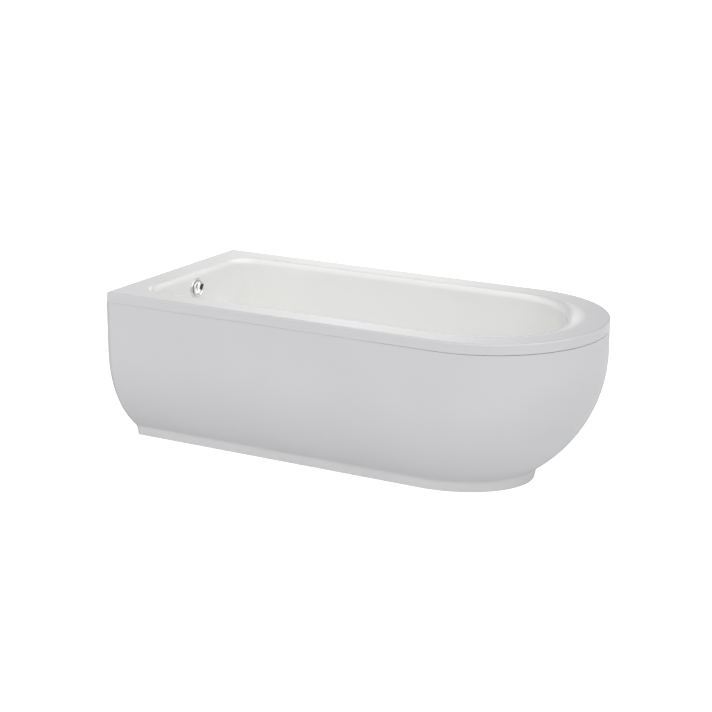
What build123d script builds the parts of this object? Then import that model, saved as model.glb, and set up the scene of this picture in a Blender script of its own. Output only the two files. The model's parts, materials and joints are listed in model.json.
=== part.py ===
from build123d import *
import os
from math import cos, exp, log, radians, sin, sqrt

# A D-shaped bath: an acrylic shell with one square end and one round end, a one-piece
# bowl-shaped outer panel on a plinth, and the frame, feet, waste and overflow inside.
# Origin: on the floor under the middle of the bath. +X to the round end, +Z up.

# Overall sizes
overall_length = 1700.0
overall_width = 800.0
overall_height = 570.0

# Fits shared by all pieces
seat_gap = 0.3
running_gap = 0.08
screw_gap = 0.2
hole_gap = 0.5
cut_overrun = 2.0

# Acrylic shell
shell_wall = 5.0
lip_depth = 34.0
rim_edge_radius = 5.0
roll_radius = 22.0
rim_straight = 22.0
rim_flat_side = 80.0
rim_flat_square_end = 83.0
rim_flat_round_end = 124.0
floor_level = 150.0
side_lean = 34.0
square_end_lean = 24.0
round_end_lean = 140.0
side_foot_round = 82.0
square_end_foot_round = 70.0
round_end_foot_round = 125.0
foot_round_height = 80.0
well_corner_radius = 62.0
lean_power = 1.3
square_lean_start_share = 0.15
wall_shares = (0.0, 0.08, 0.16, 0.27, 0.4, 0.53, 0.66)
foot_round_angles = (0.0, 20.0, 38.0, 55.0, 72.0)

# Glass-fibre backing on the outside of the well
backing_wall = 3.0

# Outer panel and plinth
panel_wall = 5.0
panel_seam = 3.0
panel_set_back = 0.5
panel_return_width = 46.0
plinth_height = 49.0
plinth_taper = 21.0
crease_softness = 3.0
side_bowl_drop = 178.0
side_bowl_inset = 142.0
end_bowl_drop = 70.0
end_bowl_inset = 220.0
plinth_end_stretch = 60.0
bowl_level_shares = (1.0, 0.919, 0.83, 0.741, 0.639, 0.537, 0.435, 0.333, 0.244, 0.168, 0.109)
crease_level_shares = (0.069, 0.041, 0.02, 0.005)
plinth_level_shares = (0.92, 0.78, 0.57, 0.29, 0.0)

# Timber battens bonded under the rim
batten_width = 44.0
batten_inset = 15.0
batten_end_width = 30.0
batten_end_from_side = 120.0

# Base board bonded under the floor of the well
board_thickness = 15.0
board_side_margin = 12.0
board_end_margin = 44.0
board_to_waste = 26.0
board_corner_radius = 30.0

# Cross rails, folded steel channel
rail_width = 40.0
rail_height = 26.0
rail_wall = 2.5
rail_past_foot = 25.0
rail_inset = 60.0
rail_screw_inset = 50.0

# Centre leg plate
leg_plate_size = 90.0
leg_plate_wall = 4.0
leg_plate_screw_pitch = 64.0

# Levelling feet
foot_to_plinth = 28.0
stud_radius = 5.0
stud_above_nut = 1.0
foot_pad_radius = 22.0
foot_pad_neck_radius = 12.0
foot_pad_flange = 6.0
foot_pad_height = 20.0
foot_pad_socket = 14.0
nut_across_flats = 17.0
nut_height = 8.0

# Screws
screw_radius = 2.0
screw_head_radius = 4.0
screw_head_height = 2.5
board_screw_bite = 10.0
batten_screw_bite = 14.0
panel_screw_inset = 33.0
panel_screw_start = 150.0
panel_screw_end = 250.0
panel_screw_count = 4
panel_screw_arc_angles = (-60.0, -20.0, 20.0, 60.0)

# Wall brackets at the square end
bracket_wall = 3.0
bracket_width = 40.0
bracket_foot_length = 46.0
bracket_step_above_lip = 6.0
bracket_from_side = 80.0
bracket_hole_radius = 3.5
bracket_hole_drop = 12.0
bracket_hole_pitch = 24.0

# Timber blocks bonded inside the plinth
block_length = 60.0
block_depth = 26.0
block_height = 36.0
block_start = 150.0
block_end = 350.0
block_count = 3

# Waste in the floor of the well
waste_to_floor_edge = 63.0
waste_flange_radius = 35.0
waste_flange_thickness = 2.5
waste_sleeve_radius = 23.0
waste_hole_gap = 3.0
waste_sleeve_wall = 3.5
waste_sleeve_length = 34.0
guide_hub_radius = 8.0
guide_arm_width = 4.0
guide_drop = 20.0
guide_thickness = 5.0
plug_inset = 5.0
plug_thickness = 3.5
plug_edge_radius = 1.5
plug_seal_inset = 3.0
plug_seal_thickness = 2.0
plug_seat_gap = 0.1
plug_stem_radius = 4.0
plug_stem_boss_radius = 8.5
plug_stem_length = 30.0
washer_inset = 1.0
waste_washer_thickness = 3.0
waste_cup_radius = 37.0
waste_cup_wall = 3.5
waste_cup_height = 44.0
waste_outlet_radius = 23.9
waste_outlet_wall = 3.9
waste_outlet_length = 26.0
waste_inlet_rise = 21.0
waste_inlet_length = 20.0

# Overflow in the square end wall
overflow_drop = 57.0
rosette_radius = 36.0
rosette_thickness = 6.0
rosette_edge_radius = 2.0
knob_radius = 29.0
knob_thickness = 7.0
knob_edge_radius = 2.0
knob_gap = 1.5
grip_length = 48.0
grip_width = 12.0
grip_height = 9.0
grip_end_radius = 5.5
grip_tilt = 38.0
spindle_radius = 4.0
spindle_end_gap = 4.4
cam_radius = 14.0
cam_thickness = 5.0
cam_from_end = 2.0
overflow_seal_inset = 1.0
overflow_seal_thickness = 3.0
overflow_neck_radius = 20.5
overflow_hole_gap = 3.5
overflow_neck_wall = 3.5
overflow_hub_radius = 7.5
overflow_hub_thickness = 6.0
overflow_arm_width = 4.0
overflow_cup_radius = 33.0
overflow_cup_depth = 38.0
overflow_cup_wall = 3.0
overflow_spigot_length = 22.0

# Overflow hose, its nuts and the plug cable
spigot_radius = 10.9
spigot_wall = 2.4
hose_wall = 2.8
hose_bend_radius = 84.0
hose_nut_wall = 2.7
hose_nut_height = 14.0
cable_radius = 3.0
cable_gap = 7.0
cable_bend_radius = 90.0
clip_wall = 2.0
clip_width = 10.0
clip_gap = 0.2
clip_level_shares = (0.84, 0.37)

# Holes and fits that follow from what goes through them
screw_hole_radius = screw_radius + hole_gap
screw_pilot_radius = screw_radius + screw_gap
stud_hole_radius = stud_radius + hole_gap
nut_bore_radius = stud_radius + running_gap
waste_hole_radius = waste_sleeve_radius + waste_hole_gap
guide_bore_radius = plug_stem_radius + running_gap
overflow_hole_radius = overflow_neck_radius + overflow_hole_gap
rosette_bore = overflow_neck_radius + hole_gap
overflow_seal_bore = overflow_neck_radius + hole_gap
overflow_hub_bore = spindle_radius + running_gap
cam_bore_radius = spindle_radius + running_gap
hose_bore = spigot_radius + seat_gap
hose_radius = hose_bore + hose_wall
hose_nut_bore = hose_radius + seat_gap
hose_nut_across_flats = 2 * (hose_nut_bore + hose_nut_wall)
spigot_bore = spigot_radius - spigot_wall
cable_offset = hose_radius + cable_gap + cable_radius
waste_bore_radius = waste_sleeve_radius - waste_sleeve_wall
waste_outlet_bore = waste_outlet_radius - waste_outlet_wall
waste_washer_radius = waste_cup_radius - washer_inset
plug_radius = waste_flange_radius - plug_inset
plug_seal_radius = plug_radius - plug_seal_inset
plug_seal_bore = plug_stem_boss_radius + hole_gap
overflow_neck_bore = overflow_neck_radius - overflow_neck_wall
overflow_seal_radius = overflow_cup_radius - overflow_seal_inset

# Levels and places that follow from the sizes above
square_end_x = -overall_length / 2
round_end_x = overall_length / 2
half_width = overall_width / 2
round_centre_x = round_end_x - half_width
rim_underside = overall_height - shell_wall
lip_bottom = overall_height - lip_depth
roll_end = overall_height - roll_radius - rim_straight
wall_drop = roll_end - floor_level
side_inset = rim_flat_side + roll_radius
square_inset = rim_flat_square_end + roll_radius
round_inset = rim_flat_round_end + roll_radius
backing_inside = shell_wall + seat_gap
backing_outside = backing_inside + backing_wall
backing_bottom = floor_level - backing_outside
panel_top = lip_bottom - panel_seam
panel_return_bottom = panel_top - panel_wall
side_bowl_start = panel_top - side_bowl_drop
end_bowl_start = panel_top - end_bowl_drop
batten_top = rim_underside - seat_gap
batten_bottom = panel_top + seat_gap
batten_end_inset = shell_wall + seat_gap + bracket_wall + seat_gap
bracket_y = half_width - bracket_from_side
board_top = backing_bottom - seat_gap
board_bottom = board_top - board_thickness
board_half = half_width - side_inset - side_lean - side_foot_round - board_side_margin
floor_start_x = square_end_x + square_inset + square_end_lean + square_end_foot_round
floor_end_x = round_end_x - round_inset - round_end_lean - round_end_foot_round
waste_x = floor_start_x + waste_to_floor_edge
board_x = waste_x + waste_cup_radius + board_to_waste
board_end_x = floor_end_x - board_end_margin
rail_top = board_bottom
rail_bottom = rail_top - rail_height
rail_places = (board_x + rail_inset, board_end_x - rail_inset)
rail_screw_y = board_half - rail_screw_inset
centre_leg_x = (board_x + board_end_x) / 2
stud_top = rail_top + nut_height + stud_above_nut
stud_bottom = foot_pad_height - foot_pad_socket
washer_bottom = backing_bottom - waste_washer_thickness
cup_bottom = washer_bottom - waste_cup_height
inlet_z = cup_bottom + waste_inlet_rise
overflow_z = overall_height - overflow_drop
well_wall_x = square_end_x + square_inset
rosette_back = well_wall_x + seat_gap
rosette_front = rosette_back + rosette_thickness
knob_back = rosette_front + knob_gap
knob_front = knob_back + knob_thickness
seal_face = well_wall_x - backing_outside - seat_gap
cup_face = seal_face - overflow_seal_thickness
cup_back = cup_face - overflow_cup_depth
cup_middle = (cup_face + cup_back) / 2
spindle_end = cup_back + overflow_cup_wall + spindle_end_gap
spigot_tip_z = overflow_z - overflow_cup_radius - overflow_spigot_length
inlet_tip_x = waste_x - waste_cup_radius - waste_inlet_length
clip_low = inlet_z + cable_bend_radius
clip_high = overflow_z - overflow_cup_radius - seat_gap - hose_nut_height


def save(name, shape):
    """Writes one sub-part to its own file."""
    export_step(shape, f"parts/{name}.step")


def disc(radius, low, high, x=0.0, y=0.0):
    """An upright round bar from low to high."""
    return Pos(x, y, (low + high) / 2) * Cylinder(radius, high - low)


def bar_x(radius, low, high, y=0.0, z=0.0):
    """A round bar along X from low to high."""
    return Pos((low + high) / 2, y, z) * Rot(0, 90, 0) * Cylinder(radius, high - low)


def block(low_x, high_x, low_y, high_y, low_z, high_z):
    """A box between two corners."""
    centre = Pos((low_x + high_x) / 2, (low_y + high_y) / 2, (low_z + high_z) / 2)
    return centre * Box(high_x - low_x, high_y - low_y, high_z - low_z)


def nut(x, y, low, across_flats, height, bore):
    """An upright hexagon nut standing at low."""
    outline = RegularPolygon(across_flats / 2, 6, major_radius=False)
    return Pos(x, y, low) * (extrude(outline, height) - disc(bore, 0.0, height))


def screw(x, y, head_bottom, bite):
    """A screw driven upwards, its head hanging down from head_bottom."""
    head = disc(screw_head_radius, head_bottom - screw_head_height, head_bottom, x, y)
    return head + disc(screw_radius, head_bottom, head_bottom + bite, x, y)


def flat_face(shape, level):
    """The level face of a shape that lies nearest to a level."""
    faces = shape.faces().filter_by(Axis.Z)
    return min(faces, key=lambda face: abs(face.center().Z - level))


def group(shapes):
    """Several separate pieces kept in one sub-part."""
    solids = [solid for shape in shapes for solid in shape.solids()]
    return Compound(children=solids)


def d_outline(level, square_x, round_x, half, end_depth, corner):
    """A D-shaped face at a level: a square end, two straight sides and an elliptic end.

    corner rounds the two square-end corners, and no corner at all is made where it is zero.
    """
    bend_x = round_x - end_depth
    edges = [
        Line((square_x + corner, -half), (bend_x, -half)),
        EllipticalCenterArc((bend_x, 0), end_depth, half, start_angle=270, arc_size=90),
        EllipticalCenterArc((bend_x, 0), end_depth, half, start_angle=0, arc_size=90),
        Line((bend_x, half), (square_x + corner, half)),
    ]
    if corner:
        edges.append(CenterArc((square_x + corner, half - corner), corner, 90, 90))
    edges.append(Line((square_x, half - corner), (square_x, corner - half)))
    if corner:
        edges.append(CenterArc((square_x + corner, corner - half), corner, 180, 90))
    return Pos(0, 0, level) * make_face(edges)


def rim_solid(inset, low, high, overrun=0.0):
    """An upright block in the outline of the rim, moved in by inset.

    overrun lengthens the square end so that a cut comes out of it.
    """
    half = half_width - inset
    square_x = square_end_x + inset - overrun
    outline = d_outline(low, square_x, round_end_x - inset, half, half, 0.0)
    return extrude(outline, high - low)


def lean_at(share, lean, start_share):
    """How far a wall has leaned in at a share of the way down."""
    return lean * max(0.0, (share - start_share) / (1 - start_share)) ** lean_power


def well_outline(share, angle, outset):
    """One section of the well at a share of its depth, angle degrees into its foot round."""
    turn = 1 - cos(radians(angle))
    side = side_inset + lean_at(share, side_lean, 0.0) + side_foot_round * turn
    square = square_inset + lean_at(share, square_end_lean, square_lean_start_share)
    square += square_end_foot_round * turn
    end = round_inset + lean_at(share, round_end_lean, 0.0) + round_end_foot_round * turn
    half = half_width - side + outset
    level = roll_end - share * (wall_drop + outset)
    square_x = square_end_x + square - outset
    round_x = round_end_x - end + outset
    return d_outline(level, square_x, round_x, half, half, well_corner_radius + outset)


def well_solid(outset):
    """The well under the roll as a solid: its inside, or thicker all round by outset."""
    sections = [well_outline(share, 0.0, outset) for share in wall_shares]
    deepest = sin(radians(foot_round_angles[-1]))
    for angle in foot_round_angles:
        height = foot_round_height * (deepest - sin(radians(angle)))
        sections.append(well_outline(1 - height / wall_drop, angle, outset))
    return loft(sections)


def well_mouth(outset, high):
    """The straight part of the well above the lofted walls, up to a level."""
    outline = well_outline(0.0, 0.0, outset)
    return extrude(outline, high - roll_end)


def make_bath_shell():
    """The acrylic sheet: flat rim, turned-down lip, rolled edge and well, with its holes."""
    rim = rim_solid(0.0, rim_underside, overall_height) + well_mouth(shell_wall, rim_underside)
    under = flat_face(rim, rim_underside)
    rim = fillet(under.inner_wires()[0].edges(), roll_radius - shell_wall)
    rim -= well_mouth(0.0, overall_height)
    top = flat_face(rim, overall_height)
    rim = fillet(top.inner_wires()[0].edges(), roll_radius)
    top = flat_face(rim, overall_height)
    rim = fillet(top.outer_wire().edges(), rim_edge_radius - seat_gap)
    lip = rim_solid(0.0, lip_bottom, rim_underside)
    lip -= rim_solid(shell_wall, lip_bottom, rim_underside)
    well = well_solid(shell_wall) - well_solid(0.0)
    shell = rim + lip + well
    hole_bottom = floor_level - shell_wall - cut_overrun
    shell -= disc(waste_hole_radius, hole_bottom, floor_level + cut_overrun, waste_x)
    outer_x = well_wall_x - shell_wall - cut_overrun
    shell -= bar_x(overflow_hole_radius, outer_x, well_wall_x + cut_overrun, z=overflow_z)
    return shell


def make_backing():
    """The glass-fibre layer laid up on the outside of the well."""
    backing = well_solid(backing_outside) - well_solid(backing_inside)
    backing -= disc(waste_hole_radius, backing_bottom - cut_overrun, floor_level, waste_x)
    outer_x = cup_face - cut_overrun
    backing -= bar_x(overflow_hole_radius, outer_x, well_wall_x, z=overflow_z)
    return backing


def bowl_inset(level, start, foot_inset):
    """How far a bowl has come in at a level: an arc that leaves the upright at start.

    Its radius brings it in by foot_inset at the top of the plinth.
    """
    drop = start - plinth_height
    radius = (drop**2 + foot_inset**2) / (2 * foot_inset)
    fallen = min(max(start - level, 0.0), radius)
    return radius - sqrt(radius**2 - fallen**2)


def soft_least(first, second):
    """The smaller of two insets, with the crease between them softened."""
    least = min(first, second)
    total = exp((least - first) / crease_softness) + exp((least - second) / crease_softness)
    return least - crease_softness * log(total)


def panel_insets(level, inwards):
    """The side inset, the end inset and the depth of the round end of the panel at a level.

    The round end grows longer than its width further down.
    """
    taper = plinth_taper * max(plinth_height - level, -plinth_height) / plinth_height
    side = bowl_inset(level, side_bowl_start, side_bowl_inset)
    side = soft_least(side, side_bowl_inset + taper)
    end = bowl_inset(level, end_bowl_start, end_bowl_inset)
    end = soft_least(end, end_bowl_inset + taper)
    depth = half_width - side + plinth_end_stretch * side / (side_bowl_inset + plinth_taper)
    moved = inwards + panel_set_back
    return side + moved, end + moved, depth - moved


def panel_outline(level, inwards, overrun):
    """One section of the panel, moved in by inwards."""
    side, end, depth = panel_insets(level, inwards)
    half = half_width - side
    return d_outline(level, square_end_x - overrun, round_end_x - end, half, depth, 0.0)


def panel_levels():
    """The levels of the panel's sections, from the start of its bowl down to the floor."""
    drop = end_bowl_start - plinth_height
    shares = bowl_level_shares + crease_level_shares
    levels = [plinth_height + share * drop for share in shares]
    return levels + [share * plinth_height for share in plinth_level_shares]


def panel_solid(inwards, overrun):
    """The skirt as a solid, moved in by inwards: an upright top over the bowl and plinth."""
    levels = panel_levels()
    lower = loft([panel_outline(level, inwards, overrun) for level in levels])
    upper = extrude(panel_outline(levels[0], inwards, overrun), panel_top - levels[0])
    return upper + lower


def make_outer_panel():
    """The one-piece skirt: bowl, plinth and a return at the top, open at the square end."""
    panel = panel_solid(0.0, 0.0)
    hollow = panel_solid(panel_wall, cut_overrun)
    top_return = rim_solid(panel_set_back + seat_gap, panel_return_bottom, panel_top)
    opening = rim_solid(panel_return_width, panel_return_bottom, panel_top, panel_return_width * 2)
    panel = panel - hollow + (top_return - opening)
    for x, y in panel_screw_places():
        panel -= disc(screw_hole_radius, panel_return_bottom, panel_top, x, y)
    return panel


def panel_screw_places():
    """Where the screws through the return of the panel are."""
    out = half_width - panel_screw_inset
    straight = round_centre_x - square_end_x - panel_screw_start - panel_screw_end
    places = []
    for number in range(panel_screw_count):
        x = square_end_x + panel_screw_start + straight * number / (panel_screw_count - 1)
        places += [(x, -out), (x, out)]
    for angle in panel_screw_arc_angles:
        places.append((round_centre_x + out * cos(radians(angle)), out * sin(radians(angle))))
    return places


def make_battens():
    """Front, back, round-end and square-end battens under the flat of the rim."""
    ring = rim_solid(batten_inset, batten_bottom, batten_top)
    ring -= rim_solid(batten_inset + batten_width, batten_bottom, batten_top)
    for x, y in panel_screw_places():
        hole_top = panel_return_bottom + batten_screw_bite + seat_gap
        ring -= disc(screw_pilot_radius, batten_bottom, hole_top, x, y)
    start = square_end_x + batten_inset + batten_width
    front = ring & block(start, round_centre_x, -half_width, 0.0, 0.0, overall_height)
    back = ring & block(start, round_centre_x, 0.0, half_width, 0.0, overall_height)
    end_start = round_centre_x + seat_gap
    end = ring & block(end_start, round_end_x, -half_width, half_width, 0.0, overall_height)
    square_x = square_end_x + batten_end_inset
    half = half_width - batten_end_from_side
    square = block(square_x, square_x + batten_end_width, -half, half, batten_bottom, batten_top)
    return front, back, end, square


def rail_screw_places(x):
    """Where the screws of one rail are."""
    return [(x, side * rail_screw_y) for side in (-1, 1)]


def leg_plate_screw_places():
    """Where the screws of the centre leg plate are."""
    half = leg_plate_screw_pitch / 2
    return [(centre_leg_x + sx * half, sy * half) for sx in (-1, 1) for sy in (-1, 1)]


def make_base_board():
    """The board bonded under the floor, with pilot holes and a hole for the centre stud."""
    board = block(board_x, board_end_x, -board_half, board_half, board_bottom, board_top)
    board = fillet(board.edges().filter_by(Axis.Z), board_corner_radius)
    places = [place for x in rail_places for place in rail_screw_places(x)]
    for x, y in places + leg_plate_screw_places():
        board -= disc(screw_pilot_radius, board_bottom, board_bottom + board_screw_bite, x, y)
    board -= disc(stud_hole_radius, board_bottom, board_top, centre_leg_x)
    return board


def foot_row_y():
    """How far from the middle the two rows of feet stand, inside the foot of the plinth."""
    side, end, depth = panel_insets(0.0, panel_wall)
    return half_width - side - foot_to_plinth - foot_pad_radius


def foot_places():
    """Where the feet stand: four under the rails and the last one in the middle."""
    row = foot_row_y()
    places = [(x, side * row) for x in rail_places for side in (-1, 1)]
    return places + [(centre_leg_x, 0.0)]


def make_rail(x):
    """A channel open downwards, with holes for its screws and two studs."""
    half = rail_width / 2
    reach = foot_row_y() + rail_past_foot
    rail = block(x - half, x + half, -reach, reach, rail_bottom, rail_top)
    inner = half - rail_wall
    rail -= block(x - inner, x + inner, -reach, reach, rail_bottom, rail_top - rail_wall)
    for sx, sy in rail_screw_places(x):
        rail -= disc(screw_hole_radius, rail_bottom, rail_top, sx, sy)
    for side in (-1, 1):
        rail -= disc(stud_hole_radius, rail_bottom, rail_top, x, side * foot_row_y())
    return rail


def make_leg_plate():
    """The square plate that carries the centre foot."""
    middle = rail_top - leg_plate_wall / 2
    plate = Pos(centre_leg_x, 0, middle) * Box(leg_plate_size, leg_plate_size, leg_plate_wall)
    for x, y in leg_plate_screw_places():
        plate -= disc(screw_hole_radius, rail_top - leg_plate_wall, rail_top, x, y)
    plate -= disc(stud_hole_radius, rail_top - leg_plate_wall, rail_top, centre_leg_x)
    return plate


def make_foot_pad(x, y):
    """A round foot with a blind socket for its stud."""
    pad = disc(foot_pad_radius, 0.0, foot_pad_flange, x, y)
    neck = Pos(x, y, (foot_pad_flange + foot_pad_height) / 2) * Cone(
        foot_pad_radius - foot_pad_flange, foot_pad_neck_radius, foot_pad_height - foot_pad_flange
    )
    return pad + neck - disc(stud_radius, stud_bottom, foot_pad_height, x, y)


def make_bracket(y):
    """A stepped strip: its foot lies on the wall and its tongue stands behind the lip."""
    low_y = y - bracket_width / 2
    high_y = y + bracket_width / 2
    step_z = lip_bottom - bracket_step_above_lip
    foot_low = step_z - bracket_foot_length
    wall_x = square_end_x + bracket_wall
    tongue_x = square_end_x + shell_wall + seat_gap
    tongue_end = tongue_x + bracket_wall
    bracket = block(square_end_x, wall_x, low_y, high_y, foot_low, step_z)
    bracket += block(square_end_x, tongue_end, low_y, high_y, step_z - bracket_wall, step_z)
    bracket += block(tongue_x, tongue_end, low_y, high_y, step_z - bracket_wall, batten_top)
    for number in range(2):
        z = foot_low + bracket_hole_drop + number * bracket_hole_pitch
        for side in (-1, 1):
            hole_y = y + side * (bracket_width / 2 - bracket_hole_drop)
            bracket -= bar_x(bracket_hole_radius, square_end_x, wall_x, hole_y, z)
    return bracket


def make_plinth_blocks():
    """Timber blocks on the floor that hold the foot of the plinth from the inside."""
    half = block_length / 2
    side, end, depth = panel_insets(0.0, panel_wall + seat_gap)
    out = half_width - side
    straight = round_centre_x - square_end_x - block_start - block_end
    blocks = []
    for number in range(block_count):
        x = square_end_x + block_start + straight * number / (block_count - 1)
        blocks.append(block(x - half, x + half, out - block_depth, out, 0.0, block_height))
        blocks.append(block(x - half, x + half, -out, block_depth - out, 0.0, block_height))
    high_x = round_end_x - end - depth * (1 - sqrt(1 - (half / out) ** 2))
    blocks.append(block(high_x - block_depth, high_x, -half, half, 0.0, block_height))
    return group(blocks)


def guide(hub_radius, reach, bore, arm_width, thickness):
    """A hub on three arms, lying flat about the origin, for a stem to run in."""
    spider = disc(hub_radius, -thickness / 2, thickness / 2)
    for angle in (0, 120, 240):
        arm = block(0.0, reach, -arm_width / 2, arm_width / 2, -thickness / 2, thickness / 2)
        spider += Rot(0, 0, angle) * arm
    return spider - disc(bore, -thickness, thickness)


def make_waste_flange():
    """The ring that shows in the floor, with its sleeve and the guide for the stem."""
    top = floor_level + waste_flange_thickness
    flange = disc(waste_flange_radius, floor_level, top, waste_x)
    flange = fillet(flange.edges().sort_by(Axis.Z)[-1], waste_flange_thickness - seat_gap)
    sleeve_low = floor_level - waste_sleeve_length
    flange += disc(waste_sleeve_radius, sleeve_low, floor_level, waste_x)
    flange -= disc(waste_bore_radius, sleeve_low, top, waste_x)
    reach = (waste_bore_radius + waste_sleeve_radius) / 2
    arms = guide(guide_hub_radius, reach, guide_bore_radius, guide_arm_width, guide_thickness)
    return flange + Pos(waste_x, 0, floor_level - guide_drop) * arms


def make_plug():
    """The plug, its seal under it and the stem under both."""
    seal_low = floor_level + waste_flange_thickness + plug_seat_gap
    plug_low = seal_low + plug_seal_thickness
    plug = disc(plug_radius, plug_low, plug_low + plug_thickness, waste_x)
    plug = fillet(plug.edges().sort_by(Axis.Z)[-1], plug_edge_radius)
    seal = disc(plug_seal_radius, seal_low, plug_low, waste_x)
    seal -= disc(plug_seal_bore, seal_low, plug_low, waste_x)
    stem = disc(plug_stem_boss_radius, seal_low, plug_low, waste_x)
    stem += disc(plug_stem_radius, seal_low - plug_stem_length, seal_low, waste_x)
    return plug, seal, stem


def make_waste_washer():
    """The sealing ring between the backing and the waste body."""
    washer = disc(waste_washer_radius, washer_bottom, backing_bottom, waste_x)
    return washer - disc(waste_hole_radius, washer_bottom, backing_bottom, waste_x)


def make_waste_body():
    """The cup under the waste: an outlet downwards and an inlet for the overflow hose."""
    inside = waste_cup_radius - waste_cup_wall
    body = disc(waste_cup_radius, cup_bottom, washer_bottom, waste_x)
    outlet_low = cup_bottom - waste_outlet_length
    body += disc(waste_outlet_radius, outlet_low, cup_bottom, waste_x)
    body += bar_x(spigot_radius, inlet_tip_x, waste_x - inside, z=inlet_z)
    inside_low = cup_bottom + waste_cup_wall
    body -= disc(inside, inside_low, washer_bottom - waste_cup_wall, waste_x)
    body -= disc(waste_outlet_bore, outlet_low, inside_low, waste_x)
    body -= disc(waste_sleeve_radius + seat_gap, inside_low, washer_bottom, waste_x)
    body -= bar_x(spigot_bore, inlet_tip_x, waste_x - inside, z=inlet_z)
    return body


def make_rosette():
    """The fixed ring of the overflow on the square end wall."""
    ring = bar_x(rosette_radius, rosette_back, rosette_front, z=overflow_z)
    ring = fillet(ring.edges().sort_by(Axis.X)[-1], rosette_edge_radius)
    return ring - bar_x(rosette_bore, rosette_back, rosette_front, z=overflow_z)


def make_knob():
    """The turning cover with its grip and spindle."""
    knob = bar_x(knob_radius, knob_back, knob_front, z=overflow_z)
    knob = fillet(knob.edges().sort_by(Axis.X)[-1], knob_edge_radius)
    low = overflow_z - grip_length / 2
    high = overflow_z + grip_length / 2
    half = grip_width / 2
    grip = block(knob_front, knob_front + grip_height, -half, half, low, high)
    grip = fillet(grip.edges().filter_by(Axis.X), grip_end_radius)
    top = grip.faces().sort_by(Axis.X)[-1]
    grip = fillet(top.edges(), knob_edge_radius)
    tilt = Pos(0, 0, overflow_z) * Rot(-grip_tilt, 0, 0) * Pos(0, 0, -overflow_z)
    return knob + tilt * grip + bar_x(spindle_radius, spindle_end, knob_back, z=overflow_z)


def make_cam():
    """The cam at the end of the spindle that pulls the cable."""
    low = spindle_end + cam_from_end
    cam = bar_x(cam_radius, low, low + cam_thickness, z=overflow_z)
    return cam - bar_x(cam_bore_radius, low, low + cam_thickness, z=overflow_z)


def make_overflow_seal():
    """The sealing ring between the backing and the overflow body."""
    seal = bar_x(overflow_seal_radius, cup_face, seal_face, z=overflow_z)
    return seal - bar_x(overflow_seal_bore, cup_face, seal_face, z=overflow_z)


def make_overflow_body():
    """The cup behind the overflow, its neck through the wall and its spigot downwards."""
    inside = overflow_cup_radius - overflow_cup_wall
    body = bar_x(overflow_cup_radius, cup_back, cup_face, z=overflow_z)
    body += bar_x(overflow_neck_radius, cup_face, rosette_front - seat_gap, z=overflow_z)
    body += disc(spigot_radius, spigot_tip_z, overflow_z - inside, cup_middle)
    low = cup_back + overflow_cup_wall
    body -= bar_x(inside, low, cup_face - overflow_cup_wall, z=overflow_z)
    body -= bar_x(overflow_neck_bore, low, rosette_front, z=overflow_z)
    body -= disc(spigot_bore, spigot_tip_z, overflow_z - inside + seat_gap, cup_middle)
    reach = (overflow_neck_radius + overflow_neck_bore) / 2
    arms = guide(
        overflow_hub_radius, reach, overflow_hub_bore, overflow_arm_width, overflow_hub_thickness
    )
    return body + Pos(cup_face, 0, overflow_z) * Rot(0, 90, 0) * arms


def make_hose():
    """The tube from the overflow spigot down and across to the waste body."""
    top = overflow_z - overflow_cup_radius - seat_gap
    end_x = waste_x - waste_cup_radius - seat_gap
    corners = [(cup_middle, 0, top), (cup_middle, 0, inlet_z), (end_x, 0, inlet_z)]
    path = FilletPolyline(*corners, radius=hose_bend_radius)
    start = Plane(origin=corners[0], z_dir=(0, 0, -1))
    ring = Circle(hose_radius) - Circle(hose_bore)
    return sweep(start * ring, path=path)


def make_hose_nuts():
    """The two union nuts that hold the hose."""
    top = overflow_z - overflow_cup_radius - seat_gap - hose_nut_height
    upper = nut(cup_middle, 0, top, hose_nut_across_flats, hose_nut_height, hose_nut_bore)
    side = nut(0, 0, 0, hose_nut_across_flats, hose_nut_height, hose_nut_bore)
    end_x = waste_x - waste_cup_radius - seat_gap - hose_nut_height
    lower = Pos(end_x, 0, inlet_z) * Rot(0, 90, 0) * side
    return group([upper, lower])


def make_cable():
    """The plug cable, beside the hose all the way."""
    top = overflow_z - sqrt(overflow_cup_radius**2 - (cable_offset - cable_radius) ** 2)
    reach = sqrt(waste_cup_radius**2 - (cable_offset - cable_radius) ** 2)
    corners = [
        (cup_middle, cable_offset, top - seat_gap),
        (cup_middle, cable_offset, inlet_z),
        (waste_x - reach - seat_gap, cable_offset, inlet_z),
    ]
    path = FilletPolyline(*corners, radius=cable_bend_radius)
    start = Plane(origin=corners[0], z_dir=(0, 0, -1))
    return sweep(start * Circle(cable_radius), path=path)


def make_clips():
    """Figure-of-eight clips that hold the cable to the hose."""
    clips = []
    for share in clip_level_shares:
        level = clip_low + share * (clip_high - clip_low)
        high = level + clip_width
        clip = disc(hose_radius + clip_wall, level, high, cup_middle)
        clip += disc(cable_radius + clip_wall, level, high, cup_middle, cable_offset)
        clip += block(
            cup_middle - clip_wall, cup_middle + clip_wall, 0.0, cable_offset, level, high
        )
        clip -= disc(hose_radius + clip_gap, level, high, cup_middle)
        clip -= disc(cable_radius + clip_gap, level, high, cup_middle, cable_offset)
        clips.append(clip)
    return group(clips)


os.makedirs("parts", exist_ok=True)

# The bath itself
save("bath_shell", make_bath_shell())
save("glassfibre_backing", make_backing())
save("outer_panel", make_outer_panel())

# Timber
batten_front, batten_back, batten_round, batten_square = make_battens()
save("rim_batten_front", batten_front)
save("rim_batten_back", batten_back)
save("rim_batten_round_end", batten_round)
save("rim_batten_square_end", batten_square)
save("base_board", make_base_board())
save("plinth_blocks", make_plinth_blocks())

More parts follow.
